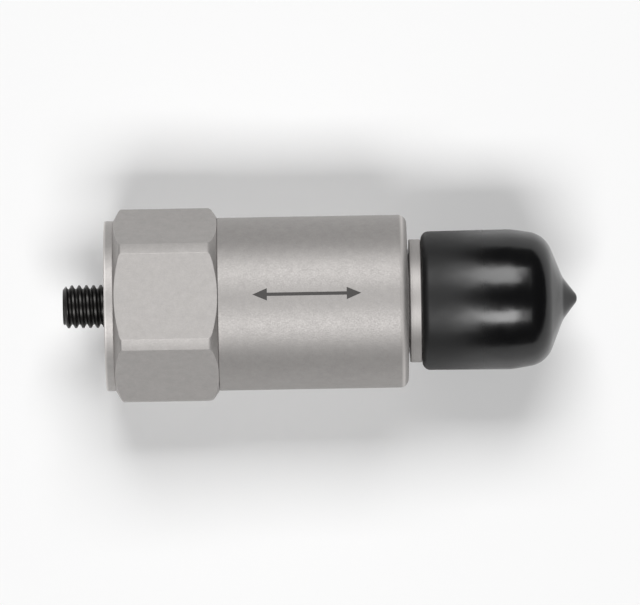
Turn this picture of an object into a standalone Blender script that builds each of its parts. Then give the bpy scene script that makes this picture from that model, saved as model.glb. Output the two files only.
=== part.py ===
"""Industrial vibration sensor with a threaded mounting stud and a vinyl cap on its connector.

The sensor lies on one flat of its hexagon, with its axis along +X from the stud to the cap.
The origin is on the ground below the middle of the length. Lengths along the axis are counted
from the seating face, which is the end face of the base round the stud.
"""

import math

import bmesh
import bpy
from mathutils import Vector

MM = 0.001

# Fits between pieces that touch on the real sensor
SEAT_GAP = 0.3 * MM
SLIDE_GAP = 0.3 * MM

# Base, turned from hexagon bar
HEX_FLATS = 24.0 * MM
HEX_CORNER_TRIM = 0.456 * MM
HEX_LENGTH = 14.5 * MM
SEAT_INSET = 0.2 * MM
SEAT_THICKNESS = 1.2 * MM
FRONT_CHAMFER_ANGLE = math.radians(30.0)
BACK_CHAMFER_ANGLE = math.radians(34.0)
BACK_CHAMFER_ROUND = 0.85 * MM
SPIGOT_LENGTH = 1.7 * MM

# Mounting stud and the tapped hole that holds it
STUD_DIAMETER = 6.0 * MM
STUD_STANDOUT = 5.9 * MM
STUD_ENGAGEMENT = 7.1 * MM
STUD_END_CHAMFER = 0.6 * MM
STUD_SOCKET_FLATS = 3.0 * MM
STUD_SOCKET_DEPTH = 2.5 * MM
HOLE_COUNTERSINK = 0.4 * MM
DRILL_POINT = 1.2 * MM

# Housing, a turned can with a rounded shoulder, flush with the flats of the hexagon
HOUSING_WALL = 1.5 * MM
HOUSING_END_WALL = 1.8 * MM
HOUSING_LENGTH = 26.1 * MM
SHOULDER_ROUND = 1.2 * MM
SHOULDER_SLOPE = 0.25 * MM

# Connector receptacle
NECK_STEP = 0.61 * MM
NECK_LENGTH = 1.7 * MM
CONNECTOR_THREAD = 15.88 * MM
CONNECTOR_LENGTH = 13.8 * MM
CONNECTOR_END_CHAMFER = 0.6 * MM
RELIEF_DEPTH = 0.65 * MM
RELIEF_LENGTH = 1.1 * MM
BARREL_WALL = 1.34 * MM
SOCKET_DEPTH = 12.6 * MM
INSERT_STEP = 1.0 * MM
TAIL_WALL = 1.6 * MM
TAIL_LENGTH = 3.0 * MM
KEYWAY_WIDTH = 2.2 * MM
KEYWAY_DEPTH = 0.45 * MM
KEYWAY_LENGTH = 8.0 * MM

# Contacts and their insulator
INSERT_THICKNESS = 2.5 * MM
PIN_DIAMETER = 1.6 * MM
PIN_SPACING = 5.1 * MM
PIN_RECESS = 2.5 * MM
CUP_DIAMETER = 2.2 * MM
CUP_LENGTH = 2.3 * MM
CUP_BORE = 1.4 * MM
CUP_DEPTH = 1.5 * MM
CUP_BEHIND_INSERT = 1.0 * MM

# Vinyl cap
CAP_END_SPACE = 3.0 * MM
CAP_WALL = 1.44 * MM
CAP_TAPER = 0.13 * MM
CAP_MOUTH_ROUND = 0.7 * MM
CAP_SHOULDER_ROUND = 4.2 * MM
CAP_DOME_SLOPE = 0.398
CAP_END_WALL = 1.44 * MM
NIPPLE_RADIUS = 3.0 * MM
NIPPLE_LENGTH = 1.99 * MM
NIPPLE_BLEND = 3.0 * MM
NIPPLE_TIP_FLAT = 0.4 * MM
NIPPLE_TIP_ROUND = 1.1 * MM

# Sensing element: a stack that a bolt clamps to its pedestal
ISOLATION_THICKNESS = 1.0 * MM
ISOLATION_MARGIN = 0.4 * MM
PEDESTAL_THICKNESS = 2.4 * MM
PIEZO_DIAMETER = 11.4 * MM
PIEZO_THICKNESS = 1.5 * MM
ELECTRODE_THICKNESS = 0.3 * MM
TAB_WIDTH = 1.8 * MM
MASS_DIAMETER = 12.4 * MM
MASS_THICKNESS = 4.1 * MM
BOLT_DIAMETER = 3.0 * MM
BOLT_ENGAGEMENT = 1.6 * MM
BOLT_HEAD_DIAMETER = 5.5 * MM
BOLT_HEAD_LENGTH = 3.0 * MM
BOLT_HEAD_SUNK = 2.2 * MM
BOLT_SOCKET_FLATS = 2.5 * MM
BOLT_SOCKET_DEPTH = 1.3 * MM
SLEEVE_WALL = 0.4 * MM

# Shield can and the leads
SHIELD_WALL = 0.5 * MM
SHIELD_HEADROOM = 0.3 * MM
SIGNAL_LEAD_DIAMETER = 0.6 * MM
SIGNAL_LEAD_CLEARANCE = 0.75 * MM
OUTPUT_LEAD_DIAMETER = 0.8 * MM
OUTPUT_LEAD_START = (3.2 * MM, -5.6 * MM)
OUTPUT_LEAD_STRAIGHT = 0.6 * MM
OUTPUT_LEAD_BEND = 3.0 * MM

# Board and what is soldered to it
CARRIER_LEDGE = 1.0 * MM
CARRIER_LEDGE_CLEARANCE = 0.35 * MM
CARRIER_RIM_WALL = 0.7 * MM
CARRIER_RIM_LENGTH = 2.8 * MM
BOARD_THICKNESS = 1.0 * MM
CHIP_SIZE = (1.6 * MM, 4.9 * MM, 3.9 * MM)
CHIP_AT = (-3.4 * MM, 3.6 * MM)
CHIP_LEG_PITCH = 1.27 * MM
CHIP_LEG_WIDTH = 0.45 * MM
CHIP_LEG_SPAN = 5.8 * MM
CHIP_LEG_THICKNESS = 0.25 * MM
TRANSISTOR_SIZE = (1.5 * MM, 4.5 * MM, 2.5 * MM)
TRANSISTOR_AT = (3.7 * MM, 3.4 * MM)
FILTER_SIZE = (1.9 * MM, 2.8 * MM, 3.5 * MM)
FILTER_AT = (6.0 * MM, -0.6 * MM)
INPUT_SIZE = (0.9 * MM, 1.6 * MM, 3.2 * MM)
INPUT_AT = (-6.3 * MM, -1.4 * MM)
RESISTOR_SIZE = (0.6 * MM, 1.6 * MM, 3.2 * MM)
RESISTOR_AT = (-3.6 * MM, -1.4 * MM)
TRIMMER_SIZE = (1.3 * MM, 3.2 * MM, 3.2 * MM)
TRIMMER_AT = (0.9 * MM, -1.3 * MM)
TRIMMER_ROTOR = 2.2 * MM
TRIMMER_ROTOR_HEIGHT = 0.3 * MM
TRIMMER_SLOT = 0.5 * MM

# Fineness of the meshes
SIDES_LARGE = 60
SIDES_MEDIUM = 40
SIDES_SMALL = 24
ARC_CHORD = 0.9 * MM
MERGE_DISTANCE = 0.001 * MM
SHARP_ANGLE = math.radians(28.0)
EDGE_BREAK = 0.15 * MM
THROUGH = 1.0 * MM

# Places along the axis, from the seating face
HEX_END = SEAT_THICKNESS + HEX_LENGTH
SPIGOT_END = HEX_END + SPIGOT_LENGTH
HOUSING_AT = HEX_END + SEAT_GAP
HOUSING_END = HOUSING_AT + HOUSING_LENGTH
NECK_AT = HOUSING_END + SEAT_GAP
NECK_END = NECK_AT + NECK_LENGTH
CONNECTOR_END = NECK_END + CONNECTOR_LENGTH
SOCKET_FLOOR = CONNECTOR_END - SOCKET_DEPTH
INSERT_AT = SOCKET_FLOOR + SEAT_GAP
CAP_AT = NECK_END + SEAT_GAP
CAP_DOME_AT = CONNECTOR_END - CAP_AT + CAP_END_SPACE
ISOLATION_AT = SPIGOT_END + SEAT_GAP
PEDESTAL_AT = ISOLATION_AT + ISOLATION_THICKNESS + SEAT_GAP
LOWER_PIEZO_AT = PEDESTAL_AT + PEDESTAL_THICKNESS + SEAT_GAP
ELECTRODE_AT = LOWER_PIEZO_AT + PIEZO_THICKNESS + SEAT_GAP
UPPER_PIEZO_AT = ELECTRODE_AT + ELECTRODE_THICKNESS + SEAT_GAP
MASS_AT = UPPER_PIEZO_AT + PIEZO_THICKNESS + SEAT_GAP
BOLT_HEAD_AT = MASS_AT + MASS_THICKNESS - BOLT_HEAD_SUNK + SEAT_GAP
BOLT_END = BOLT_HEAD_AT + BOLT_HEAD_LENGTH
SHIELD_AT = PEDESTAL_AT
SHIELD_ROOF = BOLT_END + SHIELD_HEADROOM
SHIELD_END = SHIELD_ROOF + SHIELD_WALL
CARRIER_AT = SHIELD_END + SEAT_GAP
BOARD_AT = CARRIER_AT + CARRIER_LEDGE + SEAT_GAP
COMPONENT_AT = BOARD_AT + BOARD_THICKNESS + SEAT_GAP

# Radii that several pieces share
HEX_CORNER_RADIUS = HEX_FLATS / 2 / math.cos(math.pi / 6) - HEX_CORNER_TRIM
SEAT_RADIUS = HEX_FLATS / 2 - SEAT_INSET
HOUSING_RADIUS = HEX_FLATS / 2
HOUSING_BORE = HOUSING_RADIUS - HOUSING_WALL
SPIGOT_RADIUS = HOUSING_BORE - SEAT_GAP
THREAD_RADIUS = CONNECTOR_THREAD / 2
NECK_RADIUS = THREAD_RADIUS + NECK_STEP
SOCKET_RADIUS = THREAD_RADIUS - BARREL_WALL
REAR_BORE = SOCKET_RADIUS - INSERT_STEP
TAIL_RADIUS = REAR_BORE + TAIL_WALL
TAIL_HOLE = TAIL_RADIUS + SEAT_GAP
STUD_HOLE = STUD_DIAMETER / 2 + SEAT_GAP
BOLT_HOLE = BOLT_DIAMETER / 2 + SEAT_GAP
STACK_BORE = BOLT_HOLE + SLEEVE_WALL + SEAT_GAP
SIGNAL_LEAD_AT = MASS_DIAMETER / 2 + SIGNAL_LEAD_CLEARANCE + SIGNAL_LEAD_DIAMETER / 2
SIGNAL_LEAD_OUTER = SIGNAL_LEAD_AT + SIGNAL_LEAD_DIAMETER / 2
SHIELD_BORE = SIGNAL_LEAD_OUTER + SIGNAL_LEAD_CLEARANCE
SHIELD_RADIUS = SHIELD_BORE + SHIELD_WALL
PEDESTAL_RADIUS = SHIELD_BORE - SEAT_GAP
CARRIER_RADIUS = HOUSING_BORE - SEAT_GAP
CARRIER_RIM_BORE = CARRIER_RADIUS - CARRIER_RIM_WALL
BOARD_RADIUS = CARRIER_RIM_BORE - SEAT_GAP
CAP_BORE = THREAD_RADIUS + SLIDE_GAP
CAP_RADIUS = CAP_BORE + CAP_WALL
CAP_DOME_RADIUS = CAP_RADIUS - CAP_TAPER
NIPPLE_AT = CAP_DOME_AT + CAP_DOME_SLOPE * (CAP_DOME_RADIUS - NIPPLE_RADIUS)
CAP_LENGTH = NIPPLE_AT + NIPPLE_LENGTH

# The middle of the whole length, which stands over the origin
MIDDLE = (CAP_AT + CAP_LENGTH - STUD_STANDOUT) / 2

# Colour, roughness and metallic value of each material
FINISHES = {
    "blasted_stainless": ((0.52, 0.50, 0.49), 0.42, 1.0),
    "turned_stainless": ((0.55, 0.54, 0.53), 0.30, 1.0),
    "black_oxide": ((0.02, 0.02, 0.02), 0.40, 1.0),
    "black_vinyl": ((0.012, 0.012, 0.013), 0.35, 0.0),
    "white_ceramic": ((0.80, 0.79, 0.74), 0.55, 0.0),
    "grey_ceramic": ((0.45, 0.42, 0.36), 0.60, 0.0),
    "brass": ((0.66, 0.47, 0.18), 0.30, 1.0),
    "tungsten": ((0.30, 0.29, 0.29), 0.45, 1.0),
    "tinned_steel": ((0.62, 0.61, 0.59), 0.35, 1.0),
    "gold_plate": ((0.83, 0.61, 0.22), 0.25, 1.0),
    "moulded_nylon": ((0.65, 0.63, 0.56), 0.50, 0.0),
    "connector_insulator": ((0.03, 0.03, 0.035), 0.45, 0.0),
    "board_laminate": ((0.03, 0.16, 0.07), 0.45, 0.0),
    "chip_resin": ((0.02, 0.02, 0.02), 0.55, 0.0),
    "tantalum_resin": ((0.68, 0.42, 0.06), 0.50, 0.0),
    "capacitor_ceramic": ((0.42, 0.28, 0.16), 0.55, 0.0),
    "blue_plastic": ((0.04, 0.13, 0.40), 0.45, 0.0),
    "red_sleeve": ((0.45, 0.03, 0.02), 0.50, 0.0),
    "white_sleeve": ((0.75, 0.75, 0.72), 0.50, 0.0),
}


def clear_scene():
    """Remove every object that the file opened with."""
    for thing in list(bpy.data.objects):
        bpy.data.objects.remove(thing, do_unlink=True)


def finish(name, kind):
    """Make a material with the colour, roughness and metallic value of a finish."""
    colour, roughness, metallic = FINISHES[kind]
    material = bpy.data.materials.new(name + "_" + kind)
    material.use_nodes = True
    shader = material.node_tree.nodes["Principled BSDF"]
    shader.inputs["Base Color"].default_value = (*colour, 1.0)
    shader.inputs["Roughness"].default_value = roughness
    shader.inputs["Metallic"].default_value = metallic
    material.diffuse_color = (*colour, 1.0)
    return material


def place(name, data, kind, at, parent):
    """Put a mesh or curve into the scene as one named sub-part."""
    thing = bpy.data.objects.new(name, data)
    bpy.context.collection.objects.link(thing)
    thing.location = at
    thing.parent = parent
    if kind:
        data.materials.append(finish(name, kind))
    return thing


def close_mesh(name, shape):
    """Turn a bmesh into mesh data with outward faces and smooth round sides."""
    bmesh.ops.remove_doubles(shape, verts=shape.verts, dist=MERGE_DISTANCE)
    bmesh.ops.recalc_face_normals(shape, faces=shape.faces)
    data = bpy.data.meshes.new(name)
    shape.to_mesh(data)
    shape.free()
    data.shade_smooth()
    data.set_sharp_from_angle(angle=SHARP_ANGLE)
    return data


def fillet(before, corner, after, radius):
    """Return the points of an arc that rounds one corner of an outline."""
    inward = (corner - before).normalized()
    outward = (after - corner).normalized()
    turn = inward.angle_signed(outward)
    setback = radius * math.tan(abs(turn) / 2)
    start = corner - inward * setback
    side = Vector((inward.y, -inward.x)) * math.copysign(1.0, turn)
    centre = start + side * radius
    spoke = start - centre
    steps = math.ceil(radius * abs(turn) / ARC_CHORD)
    points = []
    for step in range(steps + 1):
        angle = -turn * step / steps
        cosine, sine = math.cos(angle), math.sin(angle)
        x = spoke.x * cosine - spoke.y * sine
        y = spoke.x * sine + spoke.y * cosine
        points.append(centre + Vector((x, y)))
    return points


def rounded_outline(corners, closed):
    """Return an outline's points. A corner is (along, radius) or (along, radius, fillet)."""
    count = len(corners)
    points = []
    for index, (along, radius, *rounding) in enumerate(corners):
        corner = Vector((along, radius))
        inner = closed or 0 < index < count - 1
        if not (rounding and inner):
            points.append(corner)
            continue
        before = Vector(corners[index - 1][:2])
        after = Vector(corners[(index + 1) % count][:2])
        points.extend(fillet(before, corner, after, rounding[0]))
    return points


def turned(name, corners, sides):
    """Turn an outline about the X axis.

    An outline that starts and ends on the axis makes a solid, and any other makes a ring.
    """
    closed = corners[0][1] > 0
    shape = bmesh.new()
    ring = [shape.verts.new((point.x, 0.0, point.y)) for point in rounded_outline(corners, closed)]
    edges = [shape.edges.new(pair) for pair in zip(ring, ring[1:])]
    if closed:
        edges.append(shape.edges.new((ring[-1], ring[0])))
    bmesh.ops.spin(
        shape, geom=ring + edges, cent=(0, 0, 0), axis=(1, 0, 0),
        angle=math.tau, steps=sides, use_merge=True,
    )
    return close_mesh(name, shape)


def prism(name, corners, length):
    """Extrude a flat outline of (y, z) corners along +X."""
    shape = bmesh.new()
    face = shape.faces.new([shape.verts.new((0.0, y, z)) for y, z in corners])
    grown = bmesh.ops.extrude_face_region(shape, geom=[face])
    moved = [part for part in grown["geom"] if isinstance(part, bmesh.types.BMVert)]
    bmesh.ops.translate(shape, verts=moved, vec=(length, 0, 0))
    return close_mesh(name, shape)


def rectangle(width, height, y=0.0, z=0.0):
    """Return the corners of a rectangle centred at (y, z)."""
    half_width, half_height = width / 2, height / 2
    return [
        (y - half_width, z - half_height),
        (y + half_width, z - half_height),
        (y + half_width, z + half_height),
        (y - half_width, z + half_height),
    ]


def hexagon(flats):
    """Return the corners of a hexagon with one flat facing +Z."""
    reach = flats / 2 / math.cos(math.pi / 6)
    return [(reach * math.cos(math.tau * k / 6), reach * math.sin(math.tau * k / 6)) for k in range(6)]


def combine(target, data, at, operation):
    """Cut, join or intersect a sub-part with a hidden tool shape on the same parent."""
    tool = place(data.name, data, None, at, target.parent)
    tool.hide_render = True
    tool.display_type = "WIRE"
    step = target.modifiers.new(data.name, "BOOLEAN")
    step.operation = operation
    step.solver = "EXACT"
    step.object = tool


def make_hex_base(axis):
    """Base: seating face, hexagon with turned corners, spigot and tapped hole."""
    front_run = (HEX_CORNER_RADIUS - SEAT_RADIUS) * math.tan(FRONT_CHAMFER_ANGLE)
    back_run = (HEX_CORNER_RADIUS - HOUSING_RADIUS) * math.tan(BACK_CHAMFER_ANGLE)
    hole_end = STUD_ENGAGEMENT + SEAT_GAP
    outline = [
        (hole_end + DRILL_POINT, 0.0),
        (hole_end, STUD_HOLE),
        (HOLE_COUNTERSINK, STUD_HOLE),
        (0.0, STUD_HOLE + HOLE_COUNTERSINK),
        (0.0, SEAT_RADIUS, EDGE_BREAK),
        (SEAT_THICKNESS, SEAT_RADIUS),
        (SEAT_THICKNESS + front_run, HEX_CORNER_RADIUS, EDGE_BREAK),
        (HEX_END - back_run, HEX_CORNER_RADIUS, BACK_CHAMFER_ROUND),
        (HEX_END, HOUSING_RADIUS),
        (HEX_END, SPIGOT_RADIUS),
        (SPIGOT_END, SPIGOT_RADIUS, EDGE_BREAK),
        (SPIGOT_END, 0.0),
    ]
    blank = turned("hex_base", outline, SIDES_LARGE)
    base = place("hex_base", blank, "blasted_stainless", (0, 0, 0), axis)
    bar = prism("hexagon_bar", hexagon(HEX_FLATS), SPIGOT_END + 2 * THROUGH)
    combine(base, bar, (-THROUGH, 0, 0), "INTERSECT")


def make_mounting_stud(axis):
    """Set screw with chamfered ends and a hexagon socket in its outer end."""
    radius = STUD_DIAMETER / 2
    length = STUD_STANDOUT + STUD_ENGAGEMENT
    outline = [
        (0.0, 0.0),
        (0.0, radius - STUD_END_CHAMFER),
        (STUD_END_CHAMFER, radius),
        (length - STUD_END_CHAMFER, radius),
        (length, radius - STUD_END_CHAMFER),
        (length, 0.0),
    ]
    data = turned("mounting_stud", outline, SIDES_MEDIUM)
    stud = place("mounting_stud", data, "black_oxide", (-STUD_STANDOUT, 0, 0), axis)
    socket = prism("stud_socket", hexagon(STUD_SOCKET_FLATS), STUD_SOCKET_DEPTH + THROUGH)
    combine(stud, socket, (-STUD_STANDOUT - THROUGH, 0, 0), "DIFFERENCE")


def make_housing_shell(axis):
    """Can over the sensing element, open at the base, with a hole for the connector."""
    bore_end = HOUSING_LENGTH - HOUSING_END_WALL
    outline = [
        (0.0, HOUSING_RADIUS, EDGE_BREAK),
        (HOUSING_LENGTH - SHOULDER_SLOPE, HOUSING_RADIUS, SHOULDER_ROUND),
        (HOUSING_LENGTH, TAIL_HOLE),
        (bore_end, TAIL_HOLE),
        (bore_end, HOUSING_BORE, HOUSING_WALL / 2),
        (0.0, HOUSING_BORE),
    ]
    data = turned("housing_shell", outline, SIDES_LARGE)
    place("housing_shell", data, "blasted_stainless", (HOUSING_AT, 0, 0), axis)


def make_connector_shell(axis):
    """Receptacle: tail in the housing, neck, threaded barrel, stepped bore and keyway."""
    relief = THREAD_RADIUS - RELIEF_DEPTH
    relief_end = NECK_END + RELIEF_LENGTH
    tail_start = NECK_AT - TAIL_LENGTH
    outline = [
        (tail_start, TAIL_RADIUS, EDGE_BREAK),
        (NECK_AT, TAIL_RADIUS),
        (NECK_AT, NECK_RADIUS),
        (NECK_END, NECK_RADIUS, EDGE_BREAK),
        (NECK_END, relief),
        (relief_end, relief),
        (relief_end + RELIEF_DEPTH, THREAD_RADIUS),
        (CONNECTOR_END - CONNECTOR_END_CHAMFER, THREAD_RADIUS),
        (CONNECTOR_END, THREAD_RADIUS - CONNECTOR_END_CHAMFER),
        (CONNECTOR_END, SOCKET_RADIUS, EDGE_BREAK),
        (SOCKET_FLOOR, SOCKET_RADIUS),
        (SOCKET_FLOOR, REAR_BORE),
        (tail_start, REAR_BORE),
    ]
    data = turned("connector_shell", outline, SIDES_LARGE)
    shell = place("connector_shell", data, "turned_stainless", (0, 0, 0), axis)
    height = SOCKET_RADIUS + KEYWAY_DEPTH
    key = prism("keyway", rectangle(KEYWAY_WIDTH, height, z=height / 2), KEYWAY_LENGTH + THROUGH)
    combine(shell, key, (CONNECTOR_END - KEYWAY_LENGTH, 0, 0), "DIFFERENCE")


def make_connector_insert(axis):
    """Insulating disc on the step of the receptacle, with a hole for each contact."""
    radius = SOCKET_RADIUS - SEAT_GAP
    outline = [
        (0.0, 0.0),
        (0.0, radius, EDGE_BREAK),
        (INSERT_THICKNESS, radius, EDGE_BREAK),
        (INSERT_THICKNESS, 0.0),
    ]
    data = turned("connector_insert", outline, SIDES_MEDIUM)
    insert = place("connector_insert", data, "connector_insulator", (INSERT_AT, 0, 0), axis)
    hole = PIN_DIAMETER / 2 + SEAT_GAP
    length = INSERT_THICKNESS + 2 * THROUGH
    bit = [(0, 0), (0, hole), (length, hole), (length, 0)]
    for letter, side in (("a", -1), ("b", 1)):
        drill = turned("pin_hole_" + letter, bit, SIDES_SMALL)
        combine(insert, drill, (INSERT_AT - THROUGH, side * PIN_SPACING / 2, 0), "DIFFERENCE")


def make_contact_pin(axis, letter, side):
    """Contact pin with a rounded tip in the socket and a solder cup behind the insert."""
    pin = PIN_DIAMETER / 2
    cup = CUP_DIAMETER / 2
    bore = CUP_BORE / 2
    start = INSERT_AT - CUP_BEHIND_INSERT - CUP_LENGTH
    length = CONNECTOR_END - PIN_RECESS - start
    outline = [
        (CUP_DEPTH, 0.0),
        (CUP_DEPTH, bore),
        (0.0, bore),
        (0.0, cup),
        (CUP_LENGTH, cup, EDGE_BREAK),
        (CUP_LENGTH, pin),
        (length, pin, pin / 2),
        (length, 0.0),
    ]
    name = "contact_pin_" + letter
    data = turned(name, outline, SIDES_SMALL)
    place(name, data, "gold_plate", (start, side * PIN_SPACING / 2, 0), axis)


def make_protective_cap(slide):
    """Dip-moulded cap: tapered wall, rounded mouth, sloping dome and drip nipple."""
    roof_at = CAP_DOME_AT - CAP_END_WALL * math.hypot(1.0, CAP_DOME_SLOPE)
    roof_corner = roof_at + CAP_DOME_SLOPE * (CAP_DOME_RADIUS - CAP_BORE)
    roof_middle = roof_at + CAP_DOME_SLOPE * CAP_DOME_RADIUS
    outline = [
        (roof_middle, 0.0),
        (roof_corner, CAP_BORE, CAP_SHOULDER_ROUND - CAP_WALL),
        (0.0, CAP_BORE, CAP_MOUTH_ROUND / 2),
        (0.0, CAP_RADIUS, CAP_MOUTH_ROUND),
        (CAP_DOME_AT, CAP_DOME_RADIUS, CAP_SHOULDER_ROUND),
        (NIPPLE_AT, NIPPLE_RADIUS, NIPPLE_BLEND),
        (CAP_LENGTH, NIPPLE_TIP_FLAT, NIPPLE_TIP_ROUND),
        (CAP_LENGTH, 0.0),
    ]
    data = turned("protective_cap", outline, SIDES_LARGE)
    place("protective_cap", data, "black_vinyl", (0, 0, 0), slide)


def make_disc(axis, name, kind, at, thickness, radius, bore=0.0):
    """Turn a plain disc, or a washer where it has a bore, with broken outer edges."""
    rim = [(0.0, radius, EDGE_BREAK), (thickness, radius, EDGE_BREAK)]
    outline = [(0.0, bore), *rim, (thickness, bore)]
    data = turned(name, outline, SIDES_MEDIUM)
    return place(name, data, kind, (at, 0, 0), axis)


def make_element_base(axis):
    """Pedestal of the stack, with a tapped hole for the preload bolt."""
    depth = BOLT_ENGAGEMENT + SEAT_GAP
    outline = [
        (0.0, 0.0),
        (0.0, PEDESTAL_RADIUS, EDGE_BREAK),
        (PEDESTAL_THICKNESS, PEDESTAL_RADIUS, EDGE_BREAK),
        (PEDESTAL_THICKNESS, BOLT_HOLE),
        (PEDESTAL_THICKNESS - depth, BOLT_HOLE),
        (PEDESTAL_THICKNESS - depth, 0.0),
    ]
    data = turned("element_base", outline, SIDES_MEDIUM)
    place("element_base", data, "turned_stainless", (PEDESTAL_AT, 0, 0), axis)


def make_electrode_washer(axis):
    """Washer between the piezo rings, with a tab that the signal lead is soldered to."""
    radius = PIEZO_DIAMETER / 2
    washer = make_plain_washer(axis, radius)
    tab_end = SIGNAL_LEAD_AT + TAB_WIDTH / 4
    tab_start = (radius + STACK_BORE) / 2
    corners = rectangle(TAB_WIDTH, tab_end - tab_start, z=(tab_end + tab_start) / 2)
    tab = prism("electrode_tab", corners, ELECTRODE_THICKNESS)
    combine(washer, tab, (ELECTRODE_AT, 0, 0), "UNION")


def make_plain_washer(axis, radius):
    """Turn the electrode's ring, whose sheet is too thin for a broken edge."""
    outline = [
        (0.0, STACK_BORE),
        (0.0, radius),
        (ELECTRODE_THICKNESS, radius),
        (ELECTRODE_THICKNESS, STACK_BORE),
    ]
    data = turned("electrode_washer", outline, SIDES_MEDIUM)
    return place("electrode_washer", data, "brass", (ELECTRODE_AT, 0, 0), axis)


def make_seismic_mass(axis):
    """Heavy ring on the piezo rings, counterbored for the bolt's head."""
    radius = MASS_DIAMETER / 2
    sink = MASS_THICKNESS - BOLT_HEAD_SUNK
    head_hole = BOLT_HEAD_DIAMETER / 2 + SEAT_GAP
    outline = [
        (0.0, BOLT_HOLE),
        (0.0, radius, EDGE_BREAK),
        (MASS_THICKNESS, radius, EDGE_BREAK),
        (MASS_THICKNESS, head_hole),
        (sink, head_hole),
        (sink, BOLT_HOLE),
    ]
    data = turned("seismic_mass", outline, SIDES_MEDIUM)
    place("seismic_mass", data, "tungsten", (MASS_AT, 0, 0), axis)


def make_bolt_sleeve(axis):
    """Insulating tube that keeps the piezo rings and the electrode off the bolt."""
    start = LOWER_PIEZO_AT
    length = UPPER_PIEZO_AT + PIEZO_THICKNESS - start
    outer = BOLT_HOLE + SLEEVE_WALL
    outline = [(0.0, BOLT_HOLE), (0.0, outer), (length, outer), (length, BOLT_HOLE)]
    data = turned("bolt_sleeve", outline, SIDES_SMALL)
    place("bolt_sleeve", data, "moulded_nylon", (start, 0, 0), axis)


def make_preload_bolt(axis):
    """Socket head screw that clamps the mass and the piezo rings to the pedestal."""
    shank = BOLT_DIAMETER / 2
    head = BOLT_HEAD_DIAMETER / 2
    start = PEDESTAL_AT + PEDESTAL_THICKNESS - BOLT_ENGAGEMENT
    shank_length = BOLT_HEAD_AT - start
    length = shank_length + BOLT_HEAD_LENGTH
    outline = [
        (0.0, 0.0),
        (0.0, shank - EDGE_BREAK),
        (EDGE_BREAK, shank),
        (shank_length, shank),
        (shank_length, head),
        (length, head, EDGE_BREAK),
        (length, 0.0),
    ]
    data = turned("preload_bolt", outline, SIDES_SMALL)
    bolt = place("preload_bolt", data, "turned_stainless", (start, 0, 0), axis)
    socket = prism("bolt_socket", hexagon(BOLT_SOCKET_FLATS), BOLT_SOCKET_DEPTH + THROUGH)
    combine(bolt, socket, (BOLT_END - BOLT_SOCKET_DEPTH, 0, 0), "DIFFERENCE")


def make_faraday_shield(axis):
    """Thin can over the stack, open at the pedestal, with a hole for the signal lead."""
    length = SHIELD_END - SHIELD_AT
    outline = [
        (length, 0.0),
        (length, SHIELD_RADIUS, SHIELD_WALL),
        (0.0, SHIELD_RADIUS),
        (0.0, SHIELD_BORE),
        (length - SHIELD_WALL, SHIELD_BORE),
        (length - SHIELD_WALL, 0.0),
    ]
    data = turned("faraday_shield", outline, SIDES_MEDIUM)
    shield = place("faraday_shield", data, "tinned_steel", (SHIELD_AT, 0, 0), axis)
    hole = SIGNAL_LEAD_DIAMETER / 2 + SEAT_GAP
    depth = SHIELD_WALL + 2 * THROUGH
    drill = turned("lead_hole", [(0, 0), (0, hole), (depth, hole), (depth, 0)], SIDES_SMALL)
    combine(shield, drill, (SHIELD_ROOF - THROUGH, 0, SIGNAL_LEAD_AT), "DIFFERENCE")


def make_board_carrier(axis):
    """Moulded ring with a ledge under the board and a rim round it."""
    length = CARRIER_LEDGE + CARRIER_RIM_LENGTH
    ledge_bore = SIGNAL_LEAD_OUTER + CARRIER_LEDGE_CLEARANCE
    outline = [
        (0.0, ledge_bore),
        (0.0, CARRIER_RADIUS, EDGE_BREAK),
        (length, CARRIER_RADIUS),
        (length, CARRIER_RIM_BORE),
        (CARRIER_LEDGE, CARRIER_RIM_BORE),
        (CARRIER_LEDGE, ledge_bore),
    ]
    data = turned("board_carrier", outline, SIDES_MEDIUM)
    place("board_carrier", data, "moulded_nylon", (CARRIER_AT, 0, 0), axis)


def make_component(axis, name, kind, size, at):
    """Put a small block with broken edges on the board. Its height is along the axis."""
    height, width, depth = size
    shape = bmesh.new()
    bmesh.ops.create_cube(shape, size=1.0)
    bmesh.ops.scale(shape, vec=(height, width, depth), verts=shape.verts)
    bmesh.ops.translate(shape, vec=(height / 2, 0, 0), verts=shape.verts)
    bmesh.ops.bevel(shape, geom=shape.edges[:], offset=EDGE_BREAK, segments=1, affect="EDGES")
    return place(name, close_mesh(name, shape), kind, (COMPONENT_AT, *at), axis)


def make_amplifier_chip(axis):
    """Charge amplifier with four pairs of legs."""
    chip = make_component(axis, "amplifier_chip", "chip_resin", CHIP_SIZE, CHIP_AT)
    y, z = CHIP_AT
    for leg in range(4):
        offset = (leg - 1.5) * CHIP_LEG_PITCH
        data = prism("chip_leg_%d" % leg, rectangle(CHIP_LEG_WIDTH, CHIP_LEG_SPAN), CHIP_LEG_THICKNESS)
        combine(chip, data, (COMPONENT_AT, y + offset, z), "UNION")


def make_gain_trimmer(axis):
    """Square trimmer with a round slotted rotor."""
    trimmer = make_component(axis, "gain_trimmer", "blue_plastic", TRIMMER_SIZE, TRIMMER_AT)
    top = COMPONENT_AT + TRIMMER_SIZE[0]
    sink = TRIMMER_ROTOR_HEIGHT
    length = 2 * TRIMMER_ROTOR_HEIGHT
    radius = TRIMMER_ROTOR / 2
    rotor = turned("trimmer_rotor", [(0, 0), (0, radius), (length, radius), (length, 0)], SIDES_SMALL)
    combine(trimmer, rotor, (top - sink, *TRIMMER_AT), "UNION")
    slot = prism("trimmer_slot", rectangle(TRIMMER_ROTOR + THROUGH, TRIMMER_SLOT), length)
    combine(trimmer, slot, (top, *TRIMMER_AT), "DIFFERENCE")


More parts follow.
